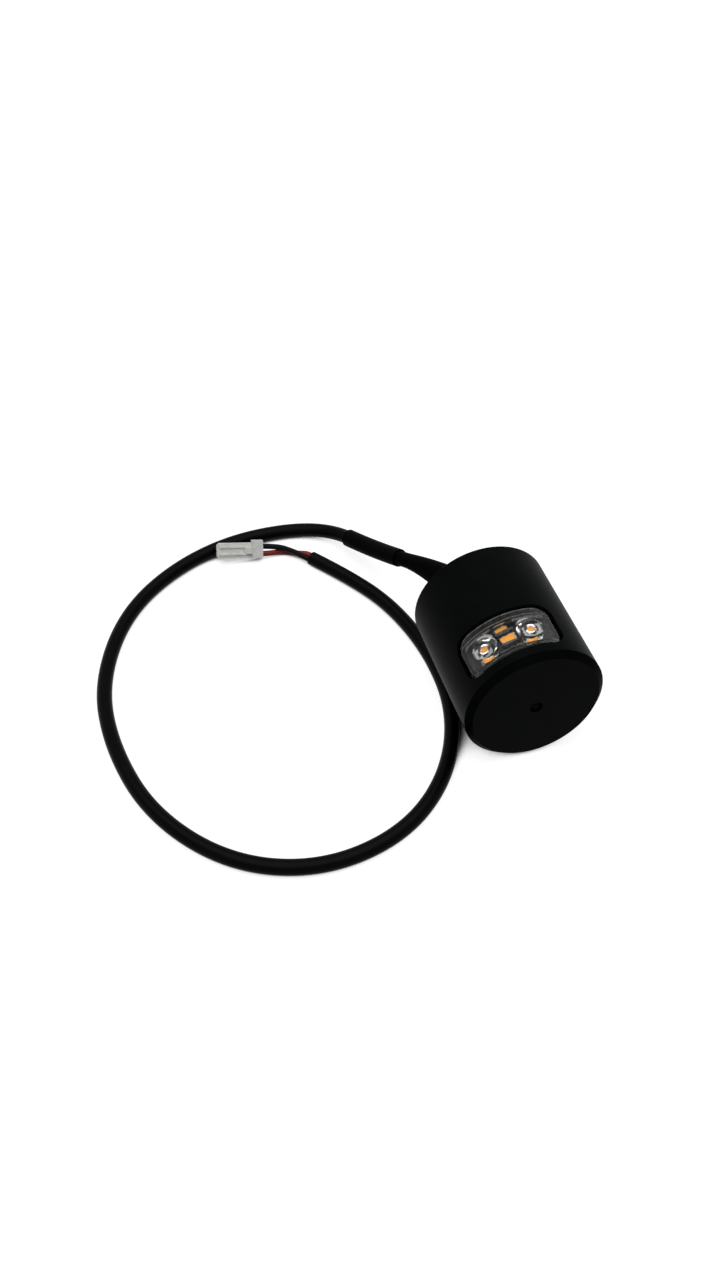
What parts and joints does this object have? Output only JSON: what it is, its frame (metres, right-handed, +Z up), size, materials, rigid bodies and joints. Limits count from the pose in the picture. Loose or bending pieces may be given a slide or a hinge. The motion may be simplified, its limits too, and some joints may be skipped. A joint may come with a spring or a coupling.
{
  "type": "scooter turn indicator",
  "caption": "Cylindrical bar-end turn indicator for a scooter: black housing, clear curved lens over amber emitters, rear socket for the bar, jacketed lead with a small plug.",
  "frame": {"origin": "middle of the lamp's footprint on the floor, lead left out", "axes": "+Y along the lamp's axis from the closed end to the socket, +Z up, +X to the right seen from the closed end"},
  "size_m": [0.1139, 0.1152, 0.034],
  "materials": {
    "black_housing": "satin moulded",
    "clear_lens": "clear polished polycarbonate",
    "black_sealant": "matt",
    "dark_board": "satin solder mask",
    "emitter_white": "gloss",
    "amber_phosphor": "gloss silicone",
    "chip_black": "matt",
    "screw_steel": "plated",
    "solder_tin": "bright",
    "red_insulation": "semi-gloss",
    "black_insulation": "semi-gloss",
    "black_rubber": "matt",
    "black_sleeve": "matt heat-shrink",
    "black_jacket": "semi-gloss flexible",
    "white_nylon": "translucent natural",
    "contact_brass": "tin plated"
  },
  "bodies": {
    "root": {"housing": "black_housing", "lens": "clear_lens", "lens_seal": "black_sealant", "led_board": "dark_board", "led_left_body": "emitter_white", "led_right_body": "emitter_white", "led_upper_body": "emitter_white", "led_lower_body": "emitter_white", "led_left_phosphor": "amber_phosphor", "led_right_phosphor": "amber_phosphor", "led_upper_phosphor": "amber_phosphor", "led_lower_phosphor": "amber_phosphor", "resistors": "chip_black", "diode": "chip_black", "board_screws": "screw_steel", "solder_joints": "solder_tin", "lead_red": "red_insulation", "lead_black": "black_insulation", "rear_plug": "black_housing", "plug_seal": "black_rubber", "boot": "black_rubber", "sleeve": "black_sleeve", "cable": "black_jacket", "wire_red": "red_insulation", "wire_black": "black_insulation", "connector_housing": "white_nylon", "terminal_red": "contact_brass", "terminal_black": "contact_brass"}
  },
  "joints": []
}
